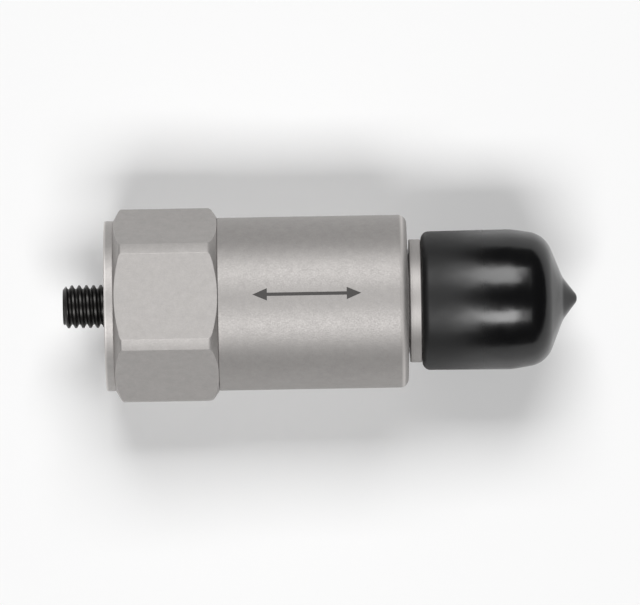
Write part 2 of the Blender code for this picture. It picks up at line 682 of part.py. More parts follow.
def bezier(start, first, second, end, steps):
    """Return points along a cubic Bezier curve."""
    points = []
    for step in range(steps + 1):
        t = step / steps
        s = 1 - t
        points.append(start * s ** 3 + first * 3 * s * s * t + second * 3 * s * t * t + end * t ** 3)
    return points


def make_lead(axis, name, kind, points, diameter):
    """Make an insulated lead as a round tube along a path."""
    data = bpy.data.curves.new(name, "CURVE")
    data.dimensions = "3D"
    data.bevel_depth = diameter / 2
    data.bevel_resolution = 2
    data.use_fill_caps = True
    spline = data.splines.new("POLY")
    spline.points.add(len(points) - 1)
    for slot, point in zip(spline.points, points):
        slot.co = (*point, 1.0)
    place(name, data, kind, (0, 0, 0), axis)


def make_signal_lead(axis):
    """Lead from the electrode's tab through the shield to the underside of the board."""
    start = ELECTRODE_AT + ELECTRODE_THICKNESS + SEAT_GAP
    end = BOARD_AT - SEAT_GAP
    ends = [Vector((start, 0, SIGNAL_LEAD_AT)), Vector((end, 0, SIGNAL_LEAD_AT))]
    make_lead(axis, "signal_lead", "white_sleeve", ends, SIGNAL_LEAD_DIAMETER)


def make_output_lead(axis, letter, side, kind):
    """Lead from the top of the board into a contact's solder cup."""
    y, z = OUTPUT_LEAD_START
    cup_mouth = INSERT_AT - CUP_BEHIND_INSERT - CUP_LENGTH
    straight = Vector((OUTPUT_LEAD_STRAIGHT, 0, 0))
    bend = Vector((OUTPUT_LEAD_BEND, 0, 0))
    start = Vector((COMPONENT_AT, side * y, z))
    end = Vector((cup_mouth + CUP_DEPTH - SEAT_GAP, side * PIN_SPACING / 2, 0))
    leaves = start + straight
    enters = Vector((cup_mouth, end.y, end.z)) - straight
    route = bezier(leaves, leaves + bend, enters - bend, enters, 12)
    make_lead(axis, "output_lead_" + letter, kind, [start, *route, end], OUTPUT_LEAD_DIAMETER)


def make_guide(name, at, parent=None):
    """Add an empty that carries the pieces placed from it."""
    guide = bpy.data.objects.new(name, None)
    bpy.context.collection.objects.link(guide)
    guide.location = at
    guide.parent = parent
    return guide


def make_sensing_element(axis):
    """Isolated stack of piezo rings under a mass, in its shield."""
    bore = STACK_BORE
    piezo = PIEZO_DIAMETER / 2
    disc = SHIELD_RADIUS + ISOLATION_MARGIN
    make_disc(axis, "isolation_disc", "white_ceramic", ISOLATION_AT, ISOLATION_THICKNESS, disc)
    make_element_base(axis)
    make_disc(axis, "piezo_ring_lower", "grey_ceramic", LOWER_PIEZO_AT, PIEZO_THICKNESS, piezo, bore)
    make_electrode_washer(axis)
    make_disc(axis, "piezo_ring_upper", "grey_ceramic", UPPER_PIEZO_AT, PIEZO_THICKNESS, piezo, bore)
    make_seismic_mass(axis)
    make_bolt_sleeve(axis)
    make_preload_bolt(axis)
    make_faraday_shield(axis)
    make_signal_lead(axis)


def make_electronics(axis):
    """Board in its carrier, with the parts soldered to it."""
    make_board_carrier(axis)
    make_disc(axis, "circuit_board", "board_laminate", BOARD_AT, BOARD_THICKNESS, BOARD_RADIUS)
    make_amplifier_chip(axis)
    make_component(axis, "current_transistor", "chip_resin", TRANSISTOR_SIZE, TRANSISTOR_AT)
    make_component(axis, "filter_capacitor", "tantalum_resin", FILTER_SIZE, FILTER_AT)
    make_component(axis, "input_capacitor", "capacitor_ceramic", INPUT_SIZE, INPUT_AT)
    make_component(axis, "sense_resistor", "chip_resin", RESISTOR_SIZE, RESISTOR_AT)
    make_gain_trimmer(axis)


def main():
    clear_scene()
    axis = make_guide("sensor_axis", (-MIDDLE, 0, HEX_FLATS / 2))
    slide = make_guide("cap_slide", (CAP_AT, 0, 0), axis)
    make_hex_base(axis)
    make_mounting_stud(axis)
    make_housing_shell(axis)
    make_sensing_element(axis)
    make_electronics(axis)
    make_connector_shell(axis)
    make_connector_insert(axis)
    for letter, side, sleeve in (("a", -1, "red_sleeve"), ("b", 1, "white_sleeve")):
        make_contact_pin(axis, letter, side)
        make_output_lead(axis, letter, side, sleeve)
    make_protective_cap(slide)


if __name__ == "__main__":
    main()
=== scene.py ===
"""Looks of an industrial vibration sensor lying on a pale studio floor.

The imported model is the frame: every piece made here takes its place from the node that it stands
for. Lengths along the sensor's axis run from the stud to the cap, along +X.
"""

import math

import bpy
from bpy.props import FloatProperty, FloatVectorProperty, PointerProperty
from mathutils import Matrix, Vector


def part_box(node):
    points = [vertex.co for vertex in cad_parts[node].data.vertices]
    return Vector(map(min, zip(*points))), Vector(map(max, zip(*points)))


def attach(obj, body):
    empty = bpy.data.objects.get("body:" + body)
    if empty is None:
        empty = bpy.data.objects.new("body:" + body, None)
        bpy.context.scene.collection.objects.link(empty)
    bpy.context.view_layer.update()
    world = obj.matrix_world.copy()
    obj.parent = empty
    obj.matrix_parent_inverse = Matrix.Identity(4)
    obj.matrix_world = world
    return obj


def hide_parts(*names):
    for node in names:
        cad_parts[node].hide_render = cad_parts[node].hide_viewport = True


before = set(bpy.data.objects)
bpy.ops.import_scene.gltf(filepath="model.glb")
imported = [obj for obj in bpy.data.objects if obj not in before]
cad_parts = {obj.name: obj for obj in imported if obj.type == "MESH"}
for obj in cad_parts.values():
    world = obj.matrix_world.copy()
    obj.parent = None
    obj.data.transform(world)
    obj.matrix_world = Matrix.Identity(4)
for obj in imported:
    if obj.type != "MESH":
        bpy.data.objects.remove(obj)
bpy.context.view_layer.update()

bl_info = {
    "name": "Vibration sensor looks",
    "version": (1, 0, 0),
    "blender": (4, 5, 0),
    "location": "View3D > Sidebar > Sensor",
    "description": "Fine surfaces, finishes and studio for a stud-mounted vibration sensor",
    "category": "Object",
}

MM = 0.001

# The picture and the photograph's scale
PICTURE_WIDTH = 640
PIXELS_PER_MM = 2.57
ENLARGEMENT = 2.8

# Places that the frame gives
BASE_LOW, BASE_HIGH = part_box("hex_base")
STUD_LOW, STUD_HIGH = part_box("mounting_stud")
HOUSING_LOW, HOUSING_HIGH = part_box("housing_shell")
SHELL_LOW, SHELL_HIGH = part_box("connector_shell")
INSERT_LOW, INSERT_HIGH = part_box("connector_insert")
CAP_LOW, CAP_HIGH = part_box("protective_cap")
AXIS_HEIGHT = (BASE_LOW.z + BASE_HIGH.z) / 2
SEAT_FACE = BASE_LOW.x

# Base, turned from hexagon bar
HEX_FLATS = BASE_HIGH.z - BASE_LOW.z
HEX_CORNER_RADIUS = (BASE_HIGH.y - BASE_LOW.y) / 2
SEAT_RADIUS = HEX_FLATS / 2 - 0.2 * MM
SEAT_THICKNESS = 1.2 * MM
HEX_END = 15.66 * MM
FRONT_CHAMFER_RUN = 1.0 * MM
FRONT_CHAMFER_FOOT = SEAT_RADIUS - 0.1 * MM
FRONT_CHAMFER_ROUND = 0.5 * MM
BACK_CHAMFER_RUN = 0.944 * MM
BACK_CHAMFER_ROUND = 0.85 * MM
SPIGOT_RADIUS = 10.2 * MM
STUD_HOLE = 3.3 * MM
STUD_HOLE_DEPTH = 7.4 * MM
DRILL_POINT = 1.2 * MM
COUNTERSINK = 0.4 * MM
EDGE_BREAK = 0.15 * MM
SEAT_FEED = 0.5 * MM
SEAT_SKIN = 0.01 * MM

# Threads at 60 degrees: the flanks' slope, shares of the pitch for the root's half width and its
# dip, and how far the crests stay inside the blank
FLANK_SLOPE = math.sqrt(3)
ROOT_WIDTH = 0.1
ROOT_DIP = 0.02
CREST_GAP = 0.01 * MM

# Mounting stud, M6 with a pitch of 1 mm, and the share of the pitch that its blunt crest takes
STUD_PITCH = 1.0 * MM
STUD_CREST = 0.24
STUD_CHAMFER = 0.6 * MM
STUD_SOCKET_FLATS = 3.0 * MM
STUD_SOCKET_DEPTH = 2.5 * MM

# Housing, and the band near its end that is painted lighter, a painted highlight where the shoulder
# catches light
HOUSING_RADIUS = (HOUSING_HIGH.y - HOUSING_LOW.y) / 2
HOUSING_WALL = 1.5 * MM
HOUSING_END_WALL = 1.8 * MM
HOUSING_START = SEAT_FACE + HEX_END + 0.03 * MM
HOUSING_END = HOUSING_HIGH.x - 0.08 * MM
HOUSING_EDGE_ROUND = 0.1 * MM
SHOULDER_ROUND = 1.2 * MM
SHOULDER_SLOPE = 0.1 * MM
# A band painted lighter round the housing's end: a painted highlight where the rounded shoulder
# catches light
PAINTED_HIGHLIGHT_FROM_END = 0.75 * MM
PAINTED_HIGHLIGHT_WIDTH = 0.4 * MM
PAINTED_HIGHLIGHT_SHADE = 1.6
TAIL_HOLE = 7.5 * MM

# Sensing direction, etched as a two-headed arrow along the top of the housing
ARROW_CENTRE = SEAT_FACE + 28.0 * MM
ARROW_HEAD_LENGTH = 2.0 * MM
ARROW_HEAD_WIDTH = 1.7 * MM
ETCHING_LOW = 0.003 * MM
ETCHING_HIGH = 0.015 * MM

# Receptacle, with 24 turns of thread an inch, and the share of the pitch that its crest takes
SHELL_PITCH = 25.4 / 24 * MM
SHELL_CREST = 0.125
NECK_RADIUS = (SHELL_HIGH.y - SHELL_LOW.y) / 2
THREAD_RADIUS = NECK_RADIUS - 0.61 * MM
NECK_START = HOUSING_HIGH.x + 0.12 * MM
GROOVE_RADIUS = 6.5 * MM
NECK_END = CAP_LOW.x - 0.55 * MM
THREAD_START = NECK_END + 0.4 * MM
TAIL_RADIUS = TAIL_HOLE - 0.3 * MM
RELIEF_LENGTH = 1.1 * MM
RELIEF_DEPTH = 0.72 * MM
RIM_CHAMFER = 0.6 * MM
SOCKET_RADIUS = THREAD_RADIUS - 1.34 * MM
SOCKET_FLOOR = INSERT_LOW.x - 0.3 * MM
REAR_BORE = SOCKET_RADIUS - 1.0 * MM
KEYWAY_WIDTH = 2.2 * MM
KEYWAY_DEPTH = 0.45 * MM
KEYWAY_LENGTH = 8.0 * MM
RECEPTACLE_FEED = 0.25 * MM

# Contacts
INSERT_RADIUS = SOCKET_RADIUS - 0.15 * MM
PIN_RADIUS = 0.8 * MM
PIN_TIP_ROUND = PIN_RADIUS * 0.7
PIN_CLEARANCE = 0.12 * MM
CUP_RADIUS = 1.1 * MM
CUP_LENGTH = 2.3 * MM
CUP_BORE = 0.7 * MM
CUP_DEPTH = 1.5 * MM

# Vinyl cap
CAP_START = NECK_END + 0.05 * MM
CAP_RADIUS = THREAD_RADIUS + 1.68 * MM
CAP_BORE = THREAD_RADIUS + 0.3 * MM
CAP_WALL = CAP_RADIUS - CAP_BORE
CAP_WIDENING = 0.12 * MM
CAP_MOUTH_ROUND = 1.1 * MM
CAP_SHOULDER_ROUND = 3.9 * MM
CAP_INNER_ROUND = 2.76 * MM
CAP_EASE = 4.5 * MM
CAP_EASE_SLOPE = math.tan(math.radians(9.0))
CAP_EASE_ROUND = 7.3 * MM
CAP_DOME_SLOPE = 0.398
NIPPLE_RADIUS = 3.0 * MM
NIPPLE_LENGTH = 1.99 * MM
NIPPLE_BLEND = 3.0 * MM
NIPPLE_TIP_FLAT = 0.4 * MM
NIPPLE_TIP_ROUND = 1.1 * MM
CAP_DULL_TO = CAP_LOW.x + 1.0 * MM
CAP_GLOSSY_FROM = CAP_LOW.x + 11.0 * MM

# Finishes: how much lighter the edges of metal are painted, partly as wear and partly as a painted
# highlight, the cosines of the turn at an edge from fully lightened to plain, the range that a
# noise mostly keeps to, and the scale of a texture with waves of 1 m
EDGE_WEAR_AND_HIGHLIGHT_SHADE = 1.25
EDGE_WEAR_AND_HIGHLIGHT_RANGE = (0.9, 0.998)
BEVEL_SAMPLES = 6
NOISE_RANGE = (0.3, 0.7)
WAVE_SCALE = math.tau / 20
VINYL_IOR = 1.47
VINYL_WEAR = 0.08

# Studio
LAMP_LENGTH = 1.6
ROOM_STRENGTH = 0.06
FLOOR_RADIUS = 3.0
FLOOR_DROP = FLOOR_RADIUS / 200
FLOOR_STEPS = 128
FLOOR_ROUGHNESS = 0.9
CLIP_RATIO = 100

# Strip lights, each with its name, angle from overhead, width and radiance
STRIPS = (
    ("strip_far", math.radians(35.0), 1.15, 7.0),
    ("strip_near", math.radians(-34.0), 0.75, 10.5),
)

# Fineness
TURNED_STEPS = 192
THREAD_STEPS = 64
SMALL_STEPS = 48
ARC_STEP = math.radians(7.5)
MERGE_DISTANCE = 0.0005 * MM
SMOOTH_ANGLE = math.radians(20.0)
THROUGH = 1.0 * MM


def linear(code):
    """Turn an sRGB hex code into linear red, green and blue."""
    channels = [int(code[place:place + 2], 16) / 255 for place in (1, 3, 5)]
    return tuple(
        value / 12.92 if value <= 0.04045 else ((value + 0.055) / 1.055) ** 2.4
        for value in channels
    )


def colour_property(name, description, code):
    """A colour that a user can change, given as sRGB hex."""
    return FloatVectorProperty(
        name=name, description=description, default=linear(code),
        subtype="COLOR", size=3, min=0.0, max=1.0,
    )


class SensorColours(bpy.types.PropertyGroup):
    """Colours of the finishes."""

    base: colour_property("Base steel", "Bead blasted steel of the base", "#b5b2b0")
    housing: colour_property("Housing steel", "Bead blasted steel of the housing", "#aba8a6")
    turned: colour_property("Turned steel", "Fine turned steel of the receptacle", "#b2afad")
    stud: colour_property("Black oxide", "Black oxide on the mounting stud", "#333231")
    vinyl: colour_property("Vinyl", "Dip-moulded vinyl of the cap", "#080809")
    etching: colour_property("Etching", "Laser-etched mark on the housing", "#4c4a49")
    floor: colour_property("Floor", "Studio floor", "#eeeeee")


class SensorSizes(bpy.types.PropertyGroup):
    """Sizes of the marking and the studio."""

    arrow_length: FloatProperty(
        name="Arrow length", description="Length of the etched arrow along the sensing axis",
        default=15.0 * MM, min=0.0, unit="LENGTH",
    )
    arrow_width: FloatProperty(
        name="Arrow width", description="Width of the etched arrow's line",
        default=0.45 * MM, min=0.0, unit="LENGTH",
    )
    lens: FloatProperty(
        name="Lens", description="Focal length of the camera in millimetres",
        default=500.0, min=20.0,
    )
    camera_elevation: FloatProperty(
        name="Camera elevation", description="Height of the camera above the horizon",
        default=math.radians(84.0), subtype="ANGLE",
    )
    camera_roll: FloatProperty(
        name="Camera roll", description="How far the sensor's axis rises to the right",
        default=math.radians(1.0), subtype="ANGLE",
    )
    lamp_distance: FloatProperty(
        name="Lamp distance", description="Distance from the sensor to each strip light",
        default=2.4, min=0.5, unit="LENGTH",
    )
    lamp_level: FloatProperty(
        name="Lamp level", description="Share of the strip lights' full strength",
        default=1.0, min=0.0, subtype="FACTOR",
    )


def activate(*things):
    """Select only these objects and make the first one active."""
    bpy.ops.object.select_all(action="DESELECT")
    for thing in things:
        thing.select_set(True)
    bpy.context.view_layer.objects.active = things[0]


def settle(thing):
    """Move an object's place into its mesh."""
    activate(thing)
    bpy.ops.object.transform_apply(location=True, rotation=True, scale=True)


def fillet(before, corner, after, radius):
    """Return the points of an arc that rounds one corner of an outline."""
    inward = (corner - before).normalized()
    outward = (after - corner).normalized()
    turn = inward.angle_signed(outward)
    start = corner - inward * radius * math.tan(abs(turn) / 2)
    centre = start + Vector((inward.y, -inward.x)) * math.copysign(radius, turn)
    spoke = start - centre
    steps = max(2, math.ceil(abs(turn) / ARC_STEP))
    return [centre + Matrix.Rotation(-turn * step / steps, 2) @ spoke for step in range(steps + 1)]


def rounded(corners, closed):
    """Return an outline's points. A corner is (along, radius) or (along, radius, fillet)."""
    points = []
    last = len(corners) - 1
    for index, (along, radius, *rounding) in enumerate(corners):
        corner = Vector((along, radius))
        if rounding and (closed or 0 < index < last):
            before = Vector(corners[index - 1][:2])
            after = Vector(corners[(index + 1) % (last + 1)][:2])
            points.extend(fillet(before, corner, after, rounding[0]))
        else:
            points.append(corner)
    return points


def draw(name, points, closed=False):
    """Draw an outline by extruding one vertex from point to point, and stay in edit mode."""
    bpy.ops.object.select_all(action="DESELECT")
    bpy.ops.mesh.primitive_plane_add(size=MM)
    thing = bpy.context.object
    thing.name = name
    bpy.ops.object.mode_set(mode="EDIT")
    bpy.ops.mesh.merge(type="CENTER")
    bpy.ops.transform.translate(value=points[0])
    for start, end in zip(points, points[1:]):
        bpy.ops.mesh.extrude_region_move(TRANSFORM_OT_translate={"value": end - start})
    if closed:
        bpy.ops.object.mode_set(mode="OBJECT")
        for vertex in thing.data.vertices:
            vertex.select = vertex.index in (0, len(points) - 1)
        bpy.ops.object.mode_set(mode="EDIT")
        bpy.ops.mesh.edge_face_add()
    return thing


def close_up():
    """Merge what coincides and point the faces outwards, then leave edit mode."""
    bpy.ops.mesh.select_all(action="SELECT")
    bpy.ops.mesh.remove_doubles(threshold=MERGE_DISTANCE)
    bpy.ops.mesh.normals_make_consistent(inside=False)
    bpy.ops.object.mode_set(mode="OBJECT")


def mend():
    """Merge what coincides and fill what is open, and stay in edit mode."""
    bpy.ops.object.mode_set(mode="EDIT")
    bpy.ops.mesh.select_all(action="SELECT")
    bpy.ops.mesh.remove_doubles(threshold=MERGE_DISTANCE)
    bpy.ops.mesh.fill_holes(sides=0)


def turned(name, corners, steps=TURNED_STEPS, side=0.0):
    """Turn an outline of (x, radius) corners about the sensor's axis, or a line beside it."""
    closed = corners[0][1] > 0
    outline = rounded(corners, closed)
    points = [Vector((point.x, side, AXIS_HEIGHT + point.y)) for point in outline]
    thing = draw(name, points, closed)
    bpy.ops.mesh.select_all(action="SELECT")
    bpy.ops.mesh.spin(steps=steps, angle=math.tau, center=(0, side, AXIS_HEIGHT), axis=(1, 0, 0))
    close_up()
    return thing


def hexagon_bar(name, flats, start, end):
    """Add a hexagon bar along the sensor's axis with two of its flats level."""
    bpy.ops.object.select_all(action="DESELECT")
    bpy.ops.mesh.primitive_cylinder_add(
        vertices=6, radius=flats / 2 / math.cos(math.pi / 6), depth=end - start,
        location=((start + end) / 2, 0, AXIS_HEIGHT), rotation=(0, math.pi / 2, 0),
    )
    thing = bpy.context.object
    thing.name = name
    settle(thing)
    return thing


def combine(target, tool, operation):
    """Cut, join or intersect a piece with a tool, and remove the tool."""
    activate(target)
    step = target.modifiers.new(tool.name, "BOOLEAN")
    step.operation = operation
    step.solver = "EXACT"
    step.object = tool
    bpy.ops.object.modifier_apply(modifier=step.name)
    bpy.data.objects.remove(tool, do_unlink=True)
    mend()
    bpy.ops.object.mode_set(mode="OBJECT")


def threaded_bar(name, crest_radius, pitch, crest, start, end):
    """Screw one turn of a 60 degree thread along the sensor's axis and close its ends.

    The flat crest takes its share of the pitch, and the flanks rise from the root at 60 degrees.
    """
    depth = (0.5 - crest / 2 - ROOT_WIDTH) * FLANK_SLOPE
    foot_radius = crest_radius - depth * pitch
    root_radius = foot_radius - ROOT_DIP * pitch
    turn = [
        (0.0, root_radius), (ROOT_WIDTH, foot_radius), (0.5 - crest / 2, crest_radius),
        (0.5 + crest / 2, crest_radius), (1.0 - ROOT_WIDTH, foot_radius), (1.0, root_radius),
    ]
    points = [Vector((share * pitch, 0, radius)) for share, radius in turn]
    bar = draw(name, points)
    bpy.ops.object.mode_set(mode="OBJECT")
    bar.location = (start - pitch, 0, AXIS_HEIGHT)
    step = bar.modifiers.new("turns", "SCREW")
    step.axis = "X"
    step.screw_offset = pitch
    step.iterations = math.ceil((end - start) / pitch) + 2
    step.steps = THREAD_STEPS
    step.render_steps = THREAD_STEPS
    step.use_merge_vertices = True
    step.merge_threshold = MERGE_DISTANCE
    activate(bar)
    bpy.ops.object.modifier_apply(modifier=step.name)
    settle(bar)
    mend()
    close_up()
    return bar


def finish_piece(thing, material, body, slot, *nodes):
    """Shade a piece, give it its material, and let it stand for its nodes."""
    activate(thing)
    bpy.ops.object.shade_smooth_by_angle(angle=SMOOTH_ANGLE)
    thing.data.materials.clear()
    thing.data.materials.append(material)
    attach(thing, body)
    if nodes:
        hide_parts(*nodes)


def add(tree, kind, inputs=None, **settings):
    """Add a node with its settings, and set or link its inputs."""
    node = tree.nodes.new(kind)
    for key, value in settings.items():
        setattr(node, key, value)
    for key, value in (inputs or {}).items():
        if isinstance(value, bpy.types.NodeSocket):
            tree.links.new(value, node.inputs[key])
        else:
            node.inputs[key].default_value = value
    return node


def new_material(name, colour, roughness, metallic=0.0):
    """Start a material, and return it with its node tree, its shader and its object coordinates."""
    material = bpy.data.materials.new(name)
    material.use_nodes = True
    tree = material.node_tree
    shader = tree.nodes["Principled BSDF"]
    shader.inputs["Base Color"].default_value = (*colour, 1.0)
    shader.inputs["Roughness"].default_value = roughness
    shader.inputs["Metallic"].default_value = metallic
    place = add(tree, "ShaderNodeTexCoord").outputs["Object"]
    return material, tree, shader, place


def shade_of(colour, share):
    """Return a colour with its alpha, lightened or darkened by a share, for a node's socket."""
    return (*(min(1.0, channel * share) for channel in colour), 1.0)


def along_axis(tree, place):
    """Return the part of a place that lies along the sensor's axis."""
    return add(tree, "ShaderNodeSeparateXYZ", {"Vector": place}).outputs["X"]


def noise(tree, place, size, **inputs):
    """Return a noise whose coarsest grain has a size in metres."""
    node = add(tree, "ShaderNodeTexNoise", {"Vector": place, "Scale": 1 / size, **inputs})
    return node.outputs["Fac"]


def ramp(tree, value, start, end, first, last, easing="LINEAR"):
    """Return a number that goes from first to last while a value goes from start to end."""
    inputs = {"Value": value, "From Min": start, "From Max": end, "To Min": first, "To Max": last}
    node = add(tree, "ShaderNodeMapRange", inputs, interpolation_type=easing)
    return node.outputs["Result"]


def blend(tree, share, first, last):
    """Return a colour that goes from the first to the last while a share goes from 0 to 1."""
    inputs = {"Factor": share, "A": first, "B": last}
    return add(tree, "ShaderNodeMix", inputs, data_type="RGBA").outputs["Result"]


def dented(tree, height, strength, depth, normal=None):
    """Return a normal that a height dents, with a depth in metres."""
    inputs = {"Height": height, "Strength": strength, "Distance": depth}
    if normal is not None:
        inputs["Normal"] = normal
    return add(tree, "ShaderNodeBump", inputs).outputs["Normal"]


def link(tree, shader, sources):
    """Link sockets to the shader's inputs."""
    for name, source in sources.items():
        tree.links.new(source, shader.inputs[name])


def mottled(tree, place, colour, size, spread, fineness=0.5):
    """Return a colour that clouds slightly over patches of a size in metres."""
    cloud = noise(tree, place, size, Detail=4.0, Roughness=fineness)
    return blend(tree, cloud, shade_of(colour, 1 - spread), shade_of(colour, 1 + spread))


def worn_and_highlit_edges(tree, colour, shade, radius):
    """Lighten a colour along sharp edges as wear and painted highlight, and return it with the
    normal that rounds them off.
    """
    edge = add(tree, "ShaderNodeBevel", {"Radius": radius}, samples=BEVEL_SAMPLES).outputs["Normal"]
    true = add(tree, "ShaderNodeNewGeometry").outputs["Normal"]
    away = add(tree, "ShaderNodeVectorMath", {0: edge, 1: true}, operation="DOT_PRODUCT")
    share = ramp(tree, away.outputs["Value"], *EDGE_WEAR_AND_HIGHLIGHT_RANGE, first=1.0, last=0.0)
    return blend(tree, share, shade, shade_of(colour, EDGE_WEAR_AND_HIGHLIGHT_SHADE)), edge


def blasted_stainless(name, colour, painted_highlight_at):
    """Stainless steel blasted with glass beads: a soft, even grey with a fine grain.

    The dimples are about 0.1 mm across and are drawn at 0.2 mm, the finest that the picture shows.
    The sharp edges are painted lighter, partly as wear and partly as a painted highlight, and a
    band round one place along the axis is painted lighter as a painted highlight.
    """
    material, tree, shader, place = new_material(name, colour, roughness=0.6, metallic=1.0)
    grain = noise(tree, place, size=0.2 * MM, Detail=2.0)
    stain = mottled(tree, place, colour, size=1.2 * MM, spread=0.15, fineness=0.8)
    along = along_axis(tree, place)
    # A band round one place along the axis is painted lighter: a painted highlight
    away = add(tree, "ShaderNodeMath", {0: along, 1: painted_highlight_at}, operation="SUBTRACT")
    near = add(tree, "ShaderNodeMath", {0: away.outputs["Value"]}, operation="ABSOLUTE")
    share = ramp(
        tree, near.outputs["Value"], 0.0, PAINTED_HIGHLIGHT_WIDTH, first=1.0, last=0.0, easing="SMOOTHSTEP",
    )
    painted_highlight = blend(tree, share, stain, shade_of(colour, PAINTED_HIGHLIGHT_SHADE))
    # The edges are lightened partly as wear and partly as a painted highlight
    worn_and_highlit_colour, edge = worn_and_highlit_edges(tree, colour, painted_highlight, radius=0.12 * MM)
    link(tree, shader, {
        "Base Color": worn_and_highlit_colour,
        "Roughness": ramp(tree, grain, *NOISE_RANGE, first=0.56, last=0.64),
        "Normal": dented(tree, grain, strength=0.6, depth=0.02 * MM, normal=edge),
    })
    return material


def turned_stainless(name, colour, pattern, feed):
    """Stainless steel from the lathe: brighter and smoother, with marks that the feed left.

    The pattern is BANDS round the metal or RINGS across its end. The real feed is about 0.1 mm a
    turn, and a coarser one is drawn, so that the marks show. Past the neck the metal is smoother.
    """
    material, tree, shader, place = new_material(name, colour, roughness=0.4, metallic=1.0)
    shift = {"Vector": place, "Location": (0.0, 0.0, -AXIS_HEIGHT)}
    centred = add(tree, "ShaderNodeMapping", shift).outputs["Vector"]
    marks = add(
        tree, "ShaderNodeTexWave",
        {"Vector": centred, "Scale": WAVE_SCALE / feed, "Distortion": 0.4, "Detail": 1.0},
        wave_type=pattern, bands_direction="X", rings_direction="X",
    ).outputs["Fac"]
    stain = mottled(tree, place, colour, size=2.0 * MM, spread=0.05)
    # The edges are lightened partly as wear and partly as a painted highlight
    worn_and_highlit_colour, edge = worn_and_highlit_edges(tree, colour, stain, radius=0.08 * MM)
    along = along_axis(tree, place)
    relief_end = NECK_END + RELIEF_LENGTH
    link(tree, shader, {
        "Base Color": worn_and_highlit_colour,
        "Roughness": ramp(tree, along, NECK_END, relief_end, first=0.6, last=0.4),
        "Normal": dented(tree, marks, strength=0.5, depth=0.02 * MM, normal=edge),
    })
    return material


def black_oxide(colour):
    """Alloy steel blackened in a salt bath: nearly black, with dull metal glints on its crests."""
    material, tree, shader, place = new_material(
        "black_oxide_steel", colour, roughness=0.37, metallic=0.85,
    )
    grain = noise(tree, place, size=0.15 * MM, Detail=3.0)
    link(tree, shader, {
        "Base Color": mottled(tree, place, colour, size=0.6 * MM, spread=0.25),
        "Roughness": ramp(tree, grain, *NOISE_RANGE, first=0.3, last=0.44),
    })
    return material


def dipped_vinyl(colour):
    """Plastisol vinyl cured on a dipped former: black, dull round the mouth, glossy near the end.

    The skin has slow waves a few millimetres long, and a finer orange peel.
    """
    material, tree, shader, place = new_material(
        "dip_moulded_black_vinyl", colour, roughness=0.3,
    )
    shader.inputs["IOR"].default_value = VINYL_IOR
    along = along_axis(tree, place)
    sheen = ramp(
        tree, along, CAP_DULL_TO, CAP_GLOSSY_FROM, first=0.5, last=0.16, easing="SMOOTHSTEP",
    )
    wear = noise(tree, place, size=2.0 * MM, Detail=4.0)
    shares = {0: wear, 1: VINYL_WEAR, 2: sheen}
    patchy = add(tree, "ShaderNodeMath", shares, operation="MULTIPLY_ADD")
    waves = noise(tree, place, size=3.0 * MM, Detail=1.0)
    peel = noise(tree, place, size=0.35 * MM, Detail=2.0)
    slow = dented(tree, waves, strength=0.25, depth=0.25 * MM)
    fine = dented(tree, peel, strength=0.15, depth=0.012 * MM, normal=slow)
    link(tree, shader, {"Roughness": patchy.outputs["Value"], "Normal": fine})
    return material


def laser_etching(colour):
    """Steel annealed by a marking laser: a flat dark grey oxide without a sheen."""
    material, tree, shader, place = new_material(
        "laser_etched_oxide", colour, roughness=0.65, metallic=0.4,
    )
    stain = mottled(tree, place, colour, size=0.3 * MM, spread=0.15)
    link(tree, shader, {"Base Color": stain})
    return material


def grained(name, code, roughness, metallic, size, spread, depth):
    """A finish that clouds over patches of a size and is dented to a depth, both in metres."""
    colour = linear(code)
    material, tree, shader, place = new_material(name, colour, roughness, metallic)
    grain = noise(tree, place, size / 4, Detail=3.0)
    link(tree, shader, {
        "Base Color": mottled(tree, place, colour, size, spread),
        "Normal": dented(tree, grain, strength=0.3, depth=depth),
    })
    return material


# Simple finishes, each with its colour, roughness, metallic value, patch, spread and dent. First
# those of the contacts and their insert, then those of the pieces inside.
GOLD_FINISH = ("#dcb458", 0.25, 1.0, 0.8 * MM, 0.05, 0.004 * MM)
RESIN_FINISH = ("#26262a", 0.5, 0.0, 0.6 * MM, 0.08, 0.01 * MM)
INNER_FINISHES = {
    "fired_alumina": ("#e6e2d6", 0.55, 0.0, 0.8 * MM, 0.03, 0.01 * MM),
    "poled_piezo_ceramic": ("#a89f8d", 0.6, 0.0, 0.4 * MM, 0.06, 0.01 * MM),
    "ground_stainless_steel": ("#b9b5b2", 0.32, 1.0, 1.0 * MM, 0.04, 0.005 * MM),
    "sintered_tungsten_alloy": ("#8a8685", 0.45, 1.0, 0.5 * MM, 0.08, 0.01 * MM),
    "half_hard_brass": ("#d3b05c", 0.3, 1.0, 1.0 * MM, 0.05, 0.004 * MM),
    "zinc_plated_screw_steel": ("#b4b6b8", 0.3, 1.0, 0.8 * MM, 0.06, 0.006 * MM),
    "tinned_steel_sheet": ("#c4c2bd", 0.34, 1.0, 2.0 * MM, 0.07, 0.01 * MM),
    "natural_nylon": ("#d8d3c1", 0.5, 0.0, 1.5 * MM, 0.03, 0.01 * MM),
    "green_solder_mask": ("#1d5a33", 0.4, 0.0, 1.0 * MM, 0.08, 0.01 * MM),
    "moulded_epoxy": ("#232325", 0.55, 0.0, 0.3 * MM, 0.1, 0.01 * MM),
    "tantalum_epoxy": ("#d39b2c", 0.5, 0.0, 0.4 * MM, 0.05, 0.008 * MM),
    "barium_titanate_ceramic": ("#a37c57", 0.55, 0.0, 0.3 * MM, 0.06, 0.008 * MM),
    "blue_polyester": ("#28559b", 0.42, 0.0, 0.4 * MM, 0.04, 0.006 * MM),
    "red_wire_sleeve": ("#a9241d", 0.48, 0.0, 0.4 * MM, 0.05, 0.006 * MM),
    "white_wire_sleeve": ("#dcdad4", 0.48, 0.0, 0.4 * MM, 0.03, 0.006 * MM),
}

